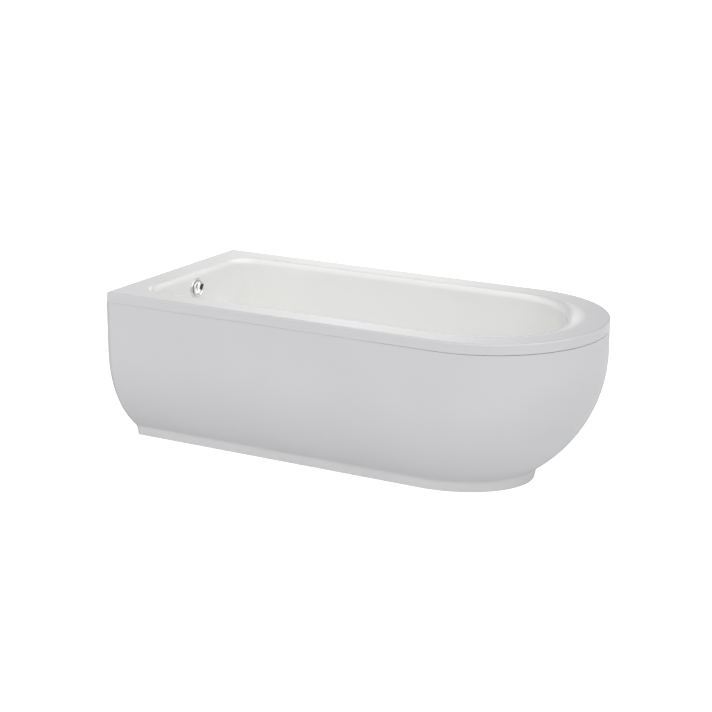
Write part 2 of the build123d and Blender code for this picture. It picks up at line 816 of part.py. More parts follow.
# Steel frame and its screws
for name, x in zip(("rail_square_end", "rail_round_end"), rail_places):
    save(name, make_rail(x))
rail_screw_head = rail_top - rail_wall
save(
    "rail_screws",
    group(
        [
            screw(sx, sy, rail_screw_head, rail_wall + board_screw_bite - seat_gap)
            for x in rail_places
            for sx, sy in rail_screw_places(x)
        ]
    ),
)
save("leg_plate", make_leg_plate())
plate_under = rail_top - leg_plate_wall
save(
    "leg_plate_screws",
    group(
        [
            screw(x, y, plate_under, leg_plate_wall + board_screw_bite - seat_gap)
            for x, y in leg_plate_screw_places()
        ]
    ),
)
save(
    "panel_screws",
    group([screw(x, y, panel_return_bottom, batten_screw_bite) for x, y in panel_screw_places()]),
)

# Levelling feet: the last one stands in the middle
upper_nuts = []
lower_nuts = []
for number, (x, y) in enumerate(foot_places(), start=1):
    save(f"foot_stud_{number}", disc(stud_radius, stud_bottom, stud_top, x, y))
    save(f"foot_pad_{number}", make_foot_pad(x, y))
    if number < len(foot_places()):
        web_under = rail_top - rail_wall
        upper_nuts.append(nut(x, y, rail_top, nut_across_flats, nut_height, nut_bore_radius))
    else:
        web_under = plate_under - nut_height
        upper_nuts.append(nut(x, y, web_under, nut_across_flats, nut_height, nut_bore_radius))
    low = web_under - nut_height
    lower_nuts.append(nut(x, y, low, nut_across_flats, nut_height, nut_bore_radius))
save("foot_nuts_upper", group(upper_nuts))
save("foot_nuts_lower", group(lower_nuts))

# Wall brackets
save("wall_bracket_front", make_bracket(-bracket_y))
save("wall_bracket_back", make_bracket(bracket_y))

# Waste
save("waste_flange", make_waste_flange())
plug_disc, plug_ring, plug_pin = make_plug()
save("waste_plug", plug_disc)
save("plug_seal", plug_ring)
save("plug_stem", plug_pin)
save("waste_washer", make_waste_washer())
save("waste_body", make_waste_body())

# Overflow
save("overflow_rosette", make_rosette())
save("overflow_knob", make_knob())
save("overflow_cam", make_cam())
save("overflow_seal", make_overflow_seal())
save("overflow_body", make_overflow_body())
save("overflow_hose", make_hose())
save("hose_nuts", make_hose_nuts())
save("plug_cable", make_cable())
save("cable_clips", make_clips())
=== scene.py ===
import json
from math import radians

import bpy
import numpy as np
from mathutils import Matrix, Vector


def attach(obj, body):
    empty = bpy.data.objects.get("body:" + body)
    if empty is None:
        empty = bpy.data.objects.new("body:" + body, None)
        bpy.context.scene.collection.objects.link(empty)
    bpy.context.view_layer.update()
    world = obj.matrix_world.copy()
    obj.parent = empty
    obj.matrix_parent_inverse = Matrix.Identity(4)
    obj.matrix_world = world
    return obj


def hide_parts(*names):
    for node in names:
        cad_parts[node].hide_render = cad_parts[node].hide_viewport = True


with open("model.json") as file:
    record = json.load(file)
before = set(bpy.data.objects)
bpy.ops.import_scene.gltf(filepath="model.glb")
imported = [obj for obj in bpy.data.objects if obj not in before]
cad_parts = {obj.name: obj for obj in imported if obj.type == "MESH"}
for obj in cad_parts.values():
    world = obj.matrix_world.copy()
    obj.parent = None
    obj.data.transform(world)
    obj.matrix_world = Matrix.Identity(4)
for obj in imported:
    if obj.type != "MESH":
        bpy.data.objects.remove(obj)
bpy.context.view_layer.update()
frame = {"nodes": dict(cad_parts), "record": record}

# Sizes in millimetres, as the bath is measured; meshes are made in metres.
MM = 0.001
LENGTH, WIDTH, HEIGHT = 1700.0, 800.0, 570.0
SQUARE_X, ROUND_X, HALF = -LENGTH / 2, LENGTH / 2, WIDTH / 2

# Acrylic shell
SHEET = 5.0
LIP_BOTTOM = 533.5
LIP_FOOT = 0.6
LIP_EDGE = 5.0
HIDDEN_EDGE = 0.5
LIP_ROWS = 12
PLAN_CORNER = 3.0
ROLL = 22.0
RIM_STRAIGHT = 22.0
ROLL_END = HEIGHT - ROLL - RIM_STRAIGHT

# How much wider the seam under the lip is at the round end, from where along the bath it
# widens, and over what length
SEAM_WIDENING = 1.5
WIDENING_START = 100.0
WIDENING_LENGTH = 600.0

# Insets at the sides, the square end and the round end: the flat of the rim, the reach of the
# roll, the lean of the wall and the share of its height where that starts, and the foot
FLAT = {"side": 80.0, "square": 83.0, "round": 76.0}
REACH = {"side": 22.0, "square": 22.0, "round": 70.0}
LEAN = {"side": 34.0, "square": 24.0, "round": 140.0}
LEAN_START = {"side": 0.0, "square": 0.15, "round": 0.0}
FOOT_ROUND = {"side": 82.0, "square": 70.0, "round": 125.0}
LEAN_POWER = 1.3

# The floor of the well, the ellipse from the wall into it, and the waste
FLOOR = 150.0
FOOT_HEIGHT = 80.0
FOOT_TURN = 72.0
WELL_CORNER = 62.0
WASTE_X = SQUARE_X + 262.0
WASTE_HOLE = 26.0

# Rows of the shell, close together where it turns: as shares of the way across the flat of
# the rim, down the wall and from the wall's foot to the waste, and as angles of the foot
FLAT_SHARES = np.array([0.015, 0.05, 0.2, 0.4, 0.6, 0.8, 0.95, 0.99])
WALL_SHARES = np.concatenate([[0.0, 0.01, 0.03], np.linspace(0.06, 0.74, 24)])
WASTE_SHARES = np.array([0.02, 0.06, 0.15, 0.35, 0.6, 0.85, 0.97, 1.0])
FOOT_ANGLES = np.concatenate(
    [np.linspace(0, FOOT_TURN - 6, 20), [FOOT_TURN - 3, FOOT_TURN - 1, FOOT_TURN]]
)

# Painted shade on the flat of the rim: how much of the darker outer white it takes at the square
# end, the rows in which it fades into the white of the well, and how many rows more it takes at the
# round end
FLAT_PAINTED_SHADE = 0.45
FADE_END, FADE_ROWS = LIP_ROWS + 11, 4
ROUND_FADE_END, ROUND_FADE_ROWS = 20, 18

# Outer panel; a bowl holds the height where it starts and how far in it has come at the crease
PANEL_TOP = 533.0
PANEL_SET_BACK = 0.5
PANEL_EDGE = 1.2
RETURN_WIDTH = 46.0
RETURN_EDGE = 0.8
RETURN_ROWS = (30.0, 15.0)
TOP_LAND = 1.5
PLINTH_HEIGHT = 49.0
PLINTH_TAPER = 21.0
PLINTH_POWER = 0.45
CREASE = 3.0
SIDE_BOWL = (355.0, 142.0)
END_BOWL = (463.0, 220.0)
PLINTH_END_STRETCH = 60.0
# Painted light: the plinth's lighter white fades in over this many millimetres below its top
PLINTH_FADE = 16.0

# Heights of the panel's rows: down the bowl, close together round the crease, and at the foot
BOWL_ROWS = np.linspace(END_BOWL[0] - 6, 96, 56)
CREASE_ROWS = np.linspace(92, 26, 34)
PLINTH_ROWS = np.array([20, 12, 4, 1.2, 0])

# Overflow and waste; profiles hold (along, radius, rounding)
OVERFLOW_Z = 513.0
ROSETTE_X = -744.7
ROSETTE = ((0, 21, 0), (0, 36, 0.5), (4.2, 36, 1.4), (6, 33.2, 1.2), (6, 21, 0))
KNOB_X = -737.2
KNOB = (
    (-50, 4, 0), (0, 4, 0), (0, 29, 0.8), (5.6, 29, 1.4), (7, 26.5, 0.7), (7, 24.5, 0.7),
    (3.6, 21.5, 1.5), (3.6, 14, 1.5), (7, 10.5, 0.7), (7, 1, 0),
)
GRIP_TILT = 38.0
GRIP_X, GRIP_LENGTH, GRIP_WIDTH, GRIP_RISE = KNOB_X + 3, 46.0, 11.0, 12.6
GRIP_ROUNDING = 3.0
# Painted shade: a black pad on the grip, standing for the dark shading on the knob
PAD_X, PAD_LENGTH, PAD_WIDTH, PAD_RISE = KNOB_X + 9.5, 29.0, 11.8, 6.7
PAD_ROUNDING = 3.2
PAD_OFFSET = 7.0
PLUG_Z = 154.6
PLUG = ((0, 1, 0), (0, 30, 0.3), (1.9, 30, 0.9), (2.7, 27.5, 1.4), (3.5, 8, 4), (3.5, 1, 0))

# Hose, from the overflow down and across to the waste
HOSE_X = -775.6
HOSE_TOP = 479.7
HOSE_LOW = 115.7
HOSE_END = -625.3
HOSE_BEND = 84.0
HOSE_RADIUS = 14.0
HOSE_BORE = 11.2
RIB_PITCH = 4.0
RIB_DEPTH = 1.2
RIB_POWER = 0.7
RIB_STEPS = 8

# Points round a turned piece, a grip bar and the hose
TURNED_COUNT = 96
GRIP_COUNT = 64
HOSE_COUNT = 40
ROUNDING_STEPS = 7

# Studio, in metres: the floor, its own glow and how much more of it the camera sees
FLOOR_SIZE = 80.0
FLOOR_DROP = 0.0004
PAPER_GLOW = 0.09
PAPER_LIFT = 0.81

# The sky's brightness towards the front, rear, left and right of the camera at each height,
# a height being the sine of the angle above the floor, and a narrow soft glow at the rear
FRONT_X, FRONT_Y = 0.492, -0.870
HEIGHTS = (-0.2, 0.0, 0.2, 0.45, 0.75, 1.0, 1.4)
SKY_LEVELS = (
    (0.45, 0.45, 0.45, 0.45),
    (0.45, 0.45, 1.2, 0.45),
    (1.74, 0.05, 0.65, 0.05),
    (2.5, 0.05, 0.15, 2.3),
    (0.84, 0.84, 0.84, 0.84),
)
GLINT = 0.8
GLINT_POWER = 80.0
GLINT_HEIGHT = 0.25
GLINT_CORE, GLINT_EDGE = 0.1, 0.22

# The camera, where the fit to the photo puts it
LENS = 97.72
SENSOR = 36.0
CAMERA_PLACE = (3.1998, -5.6606, 2.1769)
CAMERA_AIM = (-0.0701, 0.0, 0.3490)
FAR_CLIP = 200.0

# Whites, as a colour and its tint. The outer white is the well's acrylic painted darker, as painted
# shade on the lip, the rim and the panel; the plinth white is painted lighter, as painted light
WELL_WHITE = ((0.9, 0.9, 0.89), (0.885, 0.885, 0.872))
OUTER_PAINTED_SHADE_WHITE = ((0.645, 0.645, 0.66), (0.63, 0.63, 0.645))
PLINTH_PAINTED_LIGHT_WHITE = ((0.78, 0.78, 0.785), (0.765, 0.765, 0.77))
DUST = (0.42, 0.4, 0.36)
LIGHT_DUST = (0.45, 0.43, 0.4)


def mesh_piece(name, points, faces, material, slot, body="bath", node=None, mask=None):
    """A smooth-shaded mesh from points in millimetres, turned so that its faces point outwards.

    A mask is a number from 0 to 1 for each point, which its material can read.
    """
    mesh = bpy.data.meshes.new(name)
    mesh.from_pydata((points * MM).tolist(), [], faces)
    mesh.update()
    triangles = np.empty(len(mesh.loop_triangles) * 3, np.int32)
    mesh.loop_triangles.foreach_get("vertices", triangles)
    corner = (points * MM)[triangles.reshape(-1, 3)]
    volume = np.einsum("ij,ij->i", corner[:, 0], np.cross(corner[:, 1], corner[:, 2])).sum()
    if volume < 0:
        mesh.flip_normals()
    mesh.polygons.foreach_set("use_smooth", np.ones(len(mesh.polygons), bool))
    mesh.materials.append(material)
    if mask is not None:
        mesh.attributes.new("painted_shading", "FLOAT", "POINT").data.foreach_set("value", mask)
    piece = bpy.data.objects.new(name, mesh)
    bpy.context.scene.collection.objects.link(piece)
    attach(piece, body)
    if node:
        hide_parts(node)


def quads(rows, columns, ring_rows, ring_columns, start=0):
    """Faces between neighbours of a grid of points, going round it where asked."""
    r = np.arange(rows if ring_rows else rows - 1)[:, None]
    c = np.arange(columns if ring_columns else columns - 1)[None, :]
    next_r, next_c = (r + 1) % rows, (c + 1) % columns
    corners = [r * columns + c, r * columns + next_c, next_r * columns + next_c]
    corners.append(next_r * columns + c)
    return (np.stack(np.broadcast_arrays(*corners), -1).reshape(-1, 4) + start).tolist()


def thick_sheet(outer, inner, round_columns):
    """Points and faces of a closed sheet between an outer and an inner grid of the same size.

    Walking down the rows of the outer grid and back up those of the inner one gives a loop,
    and the loops make one grid that is round in its rows. Where the columns do not close,
    the gap between the first columns, and between the last ones, is filled with quads.
    """
    rows, columns = outer.shape[:2]
    loop = np.concatenate([outer, inner[::-1]])
    faces = quads(rows * 2, columns, True, round_columns)
    if not round_columns:
        r = np.arange(rows - 1)
        back = rows * 2 - 1 - r
        for column, order in ((0, 1), (columns - 1, -1)):
            cap = np.stack([r, r + 1, back - 1, back], -1)[:, ::order] * columns + column
            faces += cap.tolist()
    return loop.reshape(-1, 3), faces


def d_ring(z, square_x, round_x, half, corner):
    """Closed D-shaped rings, one to a row: each argument is an array with one value a row.

    Front straight, half circle of radius half at the round end, back straight, then a
    quarter circle, a straight and a quarter circle at the square end.
    """
    z, square_x, round_x, half, corner = np.broadcast_arrays(z, square_x, round_x, half, corner)
    z, square_x, round_x, half, corner = (a[:, None] for a in (z, square_x, round_x, half, corner))
    bend_x = round_x - half
    start_x = square_x + corner
    along = np.linspace(0, 1, 60, endpoint=False)[None]
    across = np.linspace(0, 1, 28, endpoint=False)[None]
    turn = np.radians(np.linspace(-90, 90, 120, endpoint=False))[None]
    quarter = np.radians(np.linspace(0, 90, 14, endpoint=False))[None]
    x = [
        start_x + (bend_x - start_x) * along,
        bend_x + half * np.cos(turn),
        bend_x + (start_x - bend_x) * along,
        start_x - corner * np.sin(quarter),
        square_x + 0 * across,
        start_x - corner * np.cos(quarter),
    ]
    y = [
        -half + 0 * along,
        half * np.sin(turn),
        half + 0 * along,
        half - corner + corner * np.cos(quarter),
        (half - corner) * (1 - 2 * across),
        corner - half - corner * np.sin(quarter),
    ]
    x, y = np.concatenate(x, 1), np.concatenate(y, 1)
    return np.stack([x, y, np.broadcast_to(z, x.shape)], -1)


def toward_round(x):
    """0 up to where the seam starts to widen, rising evenly to 1 where it ends."""
    return np.clip((x - WIDENING_START) / WIDENING_LENGTH, 0, 1)


def foot_share(angle):
    """How far down the wall's height the foot's ellipse has come at an angle of its turn."""
    left = FOOT_HEIGHT * (np.sin(radians(FOOT_TURN)) - np.sin(angle))
    return 1 - left / (ROLL_END - FLOOR)


def shell_skin(down):
    """One skin of the bath: the seen one where down is 0, or the one down millimetres under it.

    Rows run up the lip, over the rim edge, across the flat of the rim, round a quarter of an
    ellipse into the well, down the leaning wall, which moves in by a power of its share of the
    height, round an ellipse into the floor and in to the waste.
    """
    edge = LIP_EDGE if down == 0 else HIDDEN_EDGE
    top = HEIGHT - down
    b = np.radians(np.linspace(0, 90, LIP_ROWS - 3))
    lip_z = np.concatenate(
        [[LIP_BOTTOM, LIP_BOTTOM + LIP_FOOT, top - edge - 1], top - edge + edge * np.sin(b)]
    )
    lip_in = np.concatenate([[0, 0, 0], edge * (1 - np.cos(b))]) + down
    a = np.radians(np.linspace(0, 90, 19))
    foot = np.radians(FOOT_ANGLES)
    wall_share = np.concatenate([WALL_SHARES, foot_share(foot)])
    turn = 1 - np.cos(np.concatenate([0 * WALL_SHARES, foot]))
    z = np.concatenate(
        [
            lip_z,
            top + 0 * FLAT_SHARES,
            HEIGHT - ROLL + (ROLL - down) * np.cos(a),
            ROLL_END - wall_share * (ROLL_END - FLOOR + down),
        ]
    )
    inset = {}
    for place in FLAT:
        lean = np.clip((wall_share - LEAN_START[place]) / (1 - LEAN_START[place]), 0, None)
        walls = FLAT[place] + REACH[place] - down + LEAN[place] * lean**LEAN_POWER
        walls = walls + FOOT_ROUND[place] * turn
        flat = lip_in[-1] + (FLAT[place] - lip_in[-1]) * FLAT_SHARES
        roll = FLAT[place] + (REACH[place] - down) * np.sin(a)
        inset[place] = np.concatenate([lip_in, flat, roll, walls])
    plan = PLAN_CORNER - down * 0.5
    corner = np.concatenate(
        [
            plan + 0 * lip_z,
            plan + (WELL_CORNER + ROLL - plan) * FLAT_SHARES,
            WELL_CORNER + ROLL - (ROLL - down) * np.sin(a),
            WELL_CORNER + down + 0 * wall_share,
        ]
    )
    rings = d_ring(
        z, SQUARE_X + inset["square"], ROUND_X - inset["round"], HALF - inset["side"], corner
    )
    rings[:2, :, 2] += SEAM_WIDENING * toward_round(rings[:2, :, 0])
    rim = rings[-1]
    angle = np.arctan2(rim[:, 1], rim[:, 0] - WASTE_X)
    hole = np.stack([WASTE_X + WASTE_HOLE * np.cos(angle), WASTE_HOLE * np.sin(angle)], -1)
    hole = np.concatenate([hole, rim[:, 2:]], -1)
    inwards = WASTE_SHARES[:, None, None]
    return np.concatenate([rings, rim[None] * (1 - inwards) + hole[None] * inwards])


def bowl_inset(z, bowl):
    """An arc that leaves the upright at the bowl's start.

    It has come in by foot at the top of the plinth, so its radius is (drop squared plus foot
    squared) over twice foot.
    """
    start, foot = bowl
    drop = start - PLINTH_HEIGHT
    radius = (drop**2 + foot**2) / (2 * foot)
    return radius - np.sqrt(radius**2 - np.clip(start - z, 0, None) ** 2)


def soft_least(first, second):
    """The smaller of two insets, with the crease between them softened."""
    return -CREASE * np.logaddexp(-first / CREASE, -second / CREASE)


def panel_insets(z, inwards):
    """Side inset, end inset and end depth of the panel at height z, moved in by inwards.

    The round end is half an ellipse that grows longer than wide towards the plinth. Under the
    crease the plinth steps in by its taper times a power of the share of its height.
    """
    below = (PLINTH_HEIGHT - z) / PLINTH_HEIGHT
    taper = PLINTH_TAPER * (np.clip(below, 0, None) ** PLINTH_POWER + np.clip(below, -1, 0))
    side = soft_least(bowl_inset(z, SIDE_BOWL), SIDE_BOWL[1] + taper)
    end = soft_least(bowl_inset(z, END_BOWL), END_BOWL[1] + taper)
    depth = HALF - side + PLINTH_END_STRETCH * side / (SIDE_BOWL[1] + PLINTH_TAPER)
    moved = inwards + PANEL_SET_BACK
    return side + moved, end + moved, depth - moved


def panel_rows(z, side, end, depth):
    """Open D-shaped rows: front straight, half an ellipse at the round end, back straight."""
    z, side, end, depth = (a[:, None] for a in np.broadcast_arrays(z, side, end, depth))
    half = HALF - side
    bend_x = ROUND_X - end - depth
    along = np.linspace(0, 1, 80, endpoint=False)[None]
    turn = np.radians(np.linspace(-90, 90, 160, endpoint=False))[None]
    back = np.linspace(0, 1, 81)[None]
    x = [
        SQUARE_X + (bend_x - SQUARE_X) * along,
        bend_x + depth * np.cos(turn),
        bend_x + (SQUARE_X - bend_x) * back,
    ]
    y = [-half + 0 * along, half * np.sin(turn), half + 0 * back]
    x, y = np.concatenate(x, 1), np.concatenate(y, 1)
    return np.stack([x, y, np.broadcast_to(z, x.shape)], -1)


def panel_skin(inwards):
    """One skin of the panel, from the edge of its return over the top and down to the floor."""
    b = np.radians(np.linspace(90, 0, 6))
    top = PANEL_TOP - inwards
    upright = np.linspace(top - PANEL_EDGE - 1, END_BOWL[0], 8)
    turned_over = top - PANEL_EDGE * (1 - np.sin(b))
    z = np.concatenate([turned_over, upright, BOWL_ROWS, CREASE_ROWS, PLINTH_ROWS])
    side, end, depth = panel_insets(z, inwards)
    if inwards == 0:
        rounding = PANEL_EDGE * (1 - np.cos(b))
        side[: len(b)] += rounding
        end[: len(b)] += rounding
        depth[: len(b)] -= rounding
    flange = np.array([RETURN_WIDTH, RETURN_WIDTH - RETURN_EDGE, *RETURN_ROWS, side[0] + TOP_LAND])
    flange_z = np.full(len(flange), top)
    return panel_rows(
        np.concatenate([flange_z, z]),
        np.concatenate([flange, side]),
        np.concatenate([flange, end]),
        np.concatenate([HALF - flange, depth]),
    )


def end_fans(rows, columns):
    """Fans of triangles from the first and last row of a grid to the two points after it."""
    c = np.arange(columns)
    last = (rows - 1) * columns
    first_pole, last_pole = np.full((2, columns), rows * columns) + [[0], [1]]
    start = np.stack([c, first_pole, (c + 1) % columns], -1)
    end = np.stack([last + c, last + (c + 1) % columns, last_pole], -1)
    return start.tolist() + end.tolist()


def turned(profile, x, z, upright=False, ring=False):
    """A closed solid of revolution about a line along X, or along Z where upright.

    The profile holds (along, radius) pairs, and each point goes round a circle of its radius.
    The profile of a ring closes on itself; otherwise both ends shrink to one point.
    """
    count = TURNED_COUNT
    a = np.linspace(0, 2 * np.pi, count, endpoint=False)[None]
    along, radius = profile[:, :1] + 0 * a, profile[:, 1:]
    u, v = radius * np.cos(a), radius * np.sin(a)
    grid = np.stack([x + u, v, z + along] if upright else [x + along, u, z + v], -1)
    points = grid.reshape(-1, 3)
    if ring:
        return points, quads(len(profile), count, True, True)
    faces = quads(len(profile), count, False, True)
    ends = profile[[0, -1], 0]
    poles = [[x, 0, z + end] if upright else [x + end, 0, z] for end in ends]
    return np.concatenate([points, np.array(poles)]), faces + end_fans(len(profile), count)


def rounded(corners):
    """A profile with a quarter circle at each corner: corners hold (along, radius, rounding)."""
    corners = np.asarray(corners, float)
    result = []
    for k, (along, radius, r) in enumerate(corners):
        here = np.array([along, radius])
        if r == 0 or k in (0, len(corners) - 1):
            result.append(here[None])
            continue
        before = corners[k - 1, :2] - here
        after = corners[k + 1, :2] - here
        before, after = before / np.linalg.norm(before), after / np.linalg.norm(after)
        t = np.linspace(0, 1, ROUNDING_STEPS)[:, None]
        w = np.sin(t * np.pi / 2), np.cos(t * np.pi / 2)
        centre = here + r * (before + after)
        result.append(centre - r * (after * w[1] + before * w[0]))
    return np.concatenate(result)


def grip_bar(x, length, width, height, rounding, offset=0.0):
    """A bar that stands on the knob: a stadium that rises straight and rounds over at the top.

    Level by level the outline moves in by rounding times (1 - cos t) as it climbs rounding
    times sin t. Offset moves it along the grip.
    """
    t = np.radians(np.linspace(0, 90, 9))
    rise = np.concatenate([[0.0, 0.1], height - rounding + rounding * np.sin(t)])[:, None]
    move = np.concatenate([[0.0, 0.0], rounding * (1 - np.cos(t))])[:, None]
    a = np.linspace(0, 2 * np.pi, GRIP_COUNT, endpoint=False)[None]
    radius = width / 2 - move
    side = np.where(np.sin(a) >= 0, 1, -1)
    v = offset + (length - width) / 2 * side + radius * np.sin(a)
    u = radius * np.cos(a)
    tilt = np.radians(GRIP_TILT)
    y = u * np.cos(tilt) + v * np.sin(tilt)
    up = v * np.cos(tilt) - u * np.sin(tilt)
    points = np.stack([x + rise + 0 * a, y, OVERFLOW_Z + up], -1).reshape(-1, 3)
    faces = quads(len(rise), GRIP_COUNT, False, True) + end_fans(len(rise), GRIP_COUNT)
    middle = [offset * np.sin(tilt), OVERFLOW_Z + offset * np.cos(tilt)]
    poles = np.array([[x, *middle], [x + height, *middle]])
    return np.concatenate([points, poles]), faces


def ribbed_tube():
    """The hose: a tube down from the overflow, round a quarter bend and across to the waste.

    The skin swells by a rounded wave once every rib pitch along its length; its bore is plain.
    """
    down = HOSE_TOP - HOSE_LOW - HOSE_BEND
    bend = HOSE_BEND * np.pi / 2
    across = HOSE_END - HOSE_X - HOSE_BEND
    along = np.arange(0, down + bend + across, RIB_PITCH / RIB_STEPS)
    turn = np.clip((along - down) / HOSE_BEND, 0, np.pi / 2)
    centre_x = HOSE_X + HOSE_BEND * (1 - np.cos(turn)) + np.clip(along - down - bend, 0, None)
    centre_z = HOSE_TOP - np.clip(along, None, down) - HOSE_BEND * np.sin(turn)
    wave = np.abs(np.sin(np.pi * along / RIB_PITCH)) ** RIB_POWER
    a = np.linspace(0, 2 * np.pi, HOSE_COUNT, endpoint=False)[None]
    skins = []
    for radius in (HOSE_RADIUS - RIB_DEPTH * (1 - wave), HOSE_BORE + 0 * wave):
        out = radius[:, None] * np.cos(a)
        x = centre_x[:, None] + out * np.cos(turn)[:, None]
        z = centre_z[:, None] + out * np.sin(turn)[:, None]
        skins.append(np.stack([x, radius[:, None] * np.sin(a), z], -1))
    return thick_sheet(skins[0], skins[1], True)


def together(*parts):
    """Several closed meshes as one: their points in one list and their faces moved on."""
    points, faces, start = [], [], 0
    for more_points, more_faces in parts:
        points.append(more_points)
        faces += [[index + start for index in face] for face in more_faces]
        start += len(more_points)
    return np.concatenate(points), faces


def socket_group(name, inputs, outputs):
    """An empty shader group with named inputs, which hold (name, kind, value), and outputs."""
    group = bpy.data.node_groups.new(name, "ShaderNodeTree")
    for label, kind, value in inputs:
        socket = group.interface.new_socket(label, in_out="INPUT", socket_type="NodeSocket" + kind)
        socket.default_value = value
    for label, kind in outputs:
        group.interface.new_socket(label, in_out="OUTPUT", socket_type="NodeSocket" + kind)
    return group, group.nodes.new("NodeGroupInput"), group.nodes.new("NodeGroupOutput")


def math_node(tree, operation, first, second=None, third=None):
    """A Math node whose inputs are sockets or numbers."""
    node = tree.nodes.new("ShaderNodeMath")
    node.operation = operation
    for socket, value in zip(node.inputs, (first, second, third)):
        if value is None:
            continue
        if isinstance(value, bpy.types.NodeSocket):
            tree.links.new(value, socket)
        else:
            socket.default_value = value
    return node.outputs[0]


def noise(tree, vector, scale, detail, roughness):
    """A noise texture's value, with its scale a socket or a number."""
    node = tree.nodes.new("ShaderNodeTexNoise")
    tree.links.new(vector, node.inputs["Vector"])
    if isinstance(scale, bpy.types.NodeSocket):
        tree.links.new(scale, node.inputs["Scale"])
    else:
        node.inputs["Scale"].default_value = scale
    node.inputs["Detail"].default_value = detail
    node.inputs["Roughness"].default_value = roughness
    return node.outputs["Fac"]


def spread(tree, value, low, high, to_low=0.0, to_high=1.0):
    """A value's range from low to high mapped to another one, smoothly and clamped."""
    node = tree.nodes.new("ShaderNodeMapRange")
    node.interpolation_type = "SMOOTHSTEP"
    tree.links.new(value, node.inputs["Value"])
    node.inputs["From Min"].default_value = low
    node.inputs["From Max"].default_value = high
    node.inputs["To Min"].default_value = to_low
    node.inputs["To Max"].default_value = to_high
    return node.outputs["Result"]


def blend_colour(tree, factor, first, second):
    """A mix of two colours by a factor's socket; each colour is a socket or three numbers."""
    node = tree.nodes.new("ShaderNodeMix")
    node.data_type = "RGBA"
    tree.links.new(factor, node.inputs[0])
    for socket, colour in ((node.inputs[6], first), (node.inputs[7], second)):
        if isinstance(colour, bpy.types.NodeSocket):
            tree.links.new(colour, socket)
        else:
            socket.default_value = (*colour, 1)
    return node.outputs[2]


def moulded_sheet_group():
    """Colour, roughness and height of a formed plastic sheet.

    A broad noise makes faint cloudiness, a fine one the orange peel of the gloss, and a third,
    drawn out, the few hairline marks of wiping. Tint moves the colour by the broad noise.
    """
    group, start, end = socket_group(
        "moulded sheet",
        [
            ("Vector", "Vector", (0, 0, 0)),
            ("Colour", "Color", (0.8, 0.8, 0.8, 1)),
            ("Tint", "Color", (0.78, 0.78, 0.76, 1)),
            ("Peel Scale", "Float", 240.0),
            ("Roughness", "Float", 0.14),
            ("Roughness Spread", "Float", 0.05),
        ],
        [("Colour", "Color"), ("Roughness", "Float"), ("Height", "Float")],
    )
    vector = start.outputs["Vector"]
    broad = noise(group, vector, 3.1, 3, 0.55)
    clouds = spread(group, broad, 0.3, 0.72)
    colour = blend_colour(group, clouds, start.outputs["Colour"], start.outputs["Tint"])
    group.links.new(colour, end.inputs["Colour"])
    drawn = group.nodes.new("ShaderNodeMapping")
    drawn.inputs["Scale"].default_value = (14, 260, 260)
    drawn.inputs["Rotation"].default_value = (radians(12), radians(-20), radians(24))
    group.links.new(vector, drawn.inputs["Vector"])
    wiped = spread(group, noise(group, drawn.outputs[0], 1.0, 2, 0.6), 0.62, 0.8)
    film = spread(group, noise(group, vector, 11.0, 4, 0.6), 0.35, 0.75)
    marks = math_node(group, "MULTIPLY_ADD", wiped, 0.6, film)
    extra = math_node(group, "MULTIPLY", marks, start.outputs["Roughness Spread"])
    rough = math_node(group, "ADD", start.outputs["Roughness"], extra)
    group.links.new(rough, end.inputs["Roughness"])
    peel = noise(group, vector, start.outputs["Peel Scale"], 2, 0.4)
    wave = noise(group, vector, 9.0, 1, 0.4)
    height = math_node(group, "MULTIPLY_ADD", wave, 4.0, peel)
    group.links.new(height, end.inputs["Height"])
    return group


def timber_group():
    """Colour, roughness and height of sawn wood along X.

    Rings are a wave across the grain that noise bends, fibres a noise drawn out along it.
    """
    group, start, end = socket_group(
        "sawn timber",
        [
            ("Vector", "Vector", (0, 0, 0)),
            ("Light", "Color", (0.6, 0.42, 0.24, 1)),
            ("Dark", "Color", (0.38, 0.23, 0.11, 1)),
            ("Ring Scale", "Float", 34.0),
        ],
        [("Colour", "Color"), ("Roughness", "Float"), ("Height", "Float")],
    )
    drawn = group.nodes.new("ShaderNodeMapping")
    drawn.inputs["Scale"].default_value = (0.08, 1, 1)
    group.links.new(start.outputs["Vector"], drawn.inputs["Vector"])
    wave = group.nodes.new("ShaderNodeTexWave")
    wave.wave_type = "RINGS"
    wave.rings_direction = "X"
    group.links.new(drawn.outputs[0], wave.inputs["Vector"])
    group.links.new(start.outputs["Ring Scale"], wave.inputs["Scale"])
    wave.inputs["Distortion"].default_value = 5.0
    wave.inputs["Detail"].default_value = 3.0
    fibre = noise(group, drawn.outputs[0], 900.0, 3, 0.6)
    fibres = spread(group, fibre, 0.3, 0.7)
    rings = math_node(group, "MULTIPLY", wave.outputs["Fac"], 0.55)
    mixed = math_node(group, "MULTIPLY_ADD", fibres, 0.45, rings)
    colour = blend_colour(group, mixed, start.outputs["Light"], start.outputs["Dark"])
    group.links.new(colour, end.inputs["Colour"])
    group.links.new(spread(group, fibre, 0.2, 0.8, 0.62, 0.85), end.inputs["Roughness"])
    group.links.new(mixed, end.inputs["Height"])
    return group


